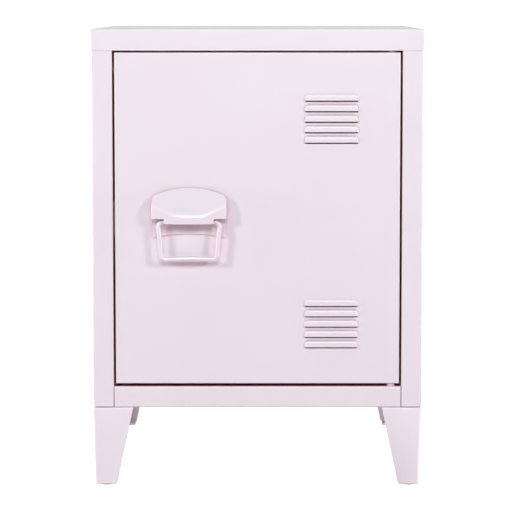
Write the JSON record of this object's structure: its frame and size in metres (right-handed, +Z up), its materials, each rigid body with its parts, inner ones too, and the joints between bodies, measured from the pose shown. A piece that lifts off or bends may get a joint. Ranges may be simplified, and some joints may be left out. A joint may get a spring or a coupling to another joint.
{
  "type": "locker cabinet",
  "caption": "Low sheet-steel locker cabinet on tapered legs, with a louvred pivot-hung door, a hooded bail handle and a shelf inside.",
  "frame": {"origin": "centre of the bounding box on the floor, handle included", "axes": "+Z up, -Y out of the door's face, +X to the right when facing the door"},
  "size_m": [0.4, 0.425, 0.555],
  "materials": {
    "painted_steel": "satin powder coat, fine orange peel",
    "painted_handle": "satin powder coat, smoother than the panels",
    "zinc_steel": "bright zinc plate",
    "nylon": "moulded, matt",
    "magnet": "sintered, matt",
    "rubber": "matt grey"
  },
  "bodies": {
    "cabinet": {"top_cap": "painted_steel", "header_rail": "painted_steel", "left_side_panel": "painted_steel", "right_side_panel": "painted_steel", "back_panel": "painted_steel", "bottom_panel": "painted_steel", "shelf": "painted_steel", "shelf_brackets": "painted_steel", "front_left_leg": "painted_steel", "front_right_leg": "painted_steel", "rear_left_leg": "painted_steel", "rear_right_leg": "painted_steel", "leg_screws": "zinc_steel", "leg_nuts": "zinc_steel", "cap_screws": "zinc_steel", "cap_nuts": "zinc_steel", "back_screws": "zinc_steel", "catch_screws": "zinc_steel", "upper_pivot_bush": "nylon", "lower_pivot_bush": "nylon", "catch_housing": "nylon", "catch_magnet": "magnet", "foot_pads": "rubber"},
    "door": {"door_shell": "painted_steel", "door_stiffener": "painted_steel", "upper_pivot_pin": "zinc_steel", "lower_pivot_pin": "zinc_steel", "strike_plate": "zinc_steel", "door_bumpers": "rubber", "handle_plate": "painted_handle", "handle_hood": "painted_handle", "handle_screws": "zinc_steel", "bail_clips": "nylon"},
    "bail": {"bail": "painted_handle"}
  },
  "joints": [
    {"name": "door_hinge", "type": "hinge", "parent": "cabinet", "child": "door", "pos_m": [0.1618, -0.17905, 0.1224], "axis": [0, 0, 1], "range_deg": [0, 110]},
    {"name": "bail_pivot", "type": "hinge", "parent": "door", "child": "bail", "pos_m": [-0.082, -0.20155, 0.3245], "axis": [-1, 0, 0], "range_deg": [0, 80]}
  ]
}
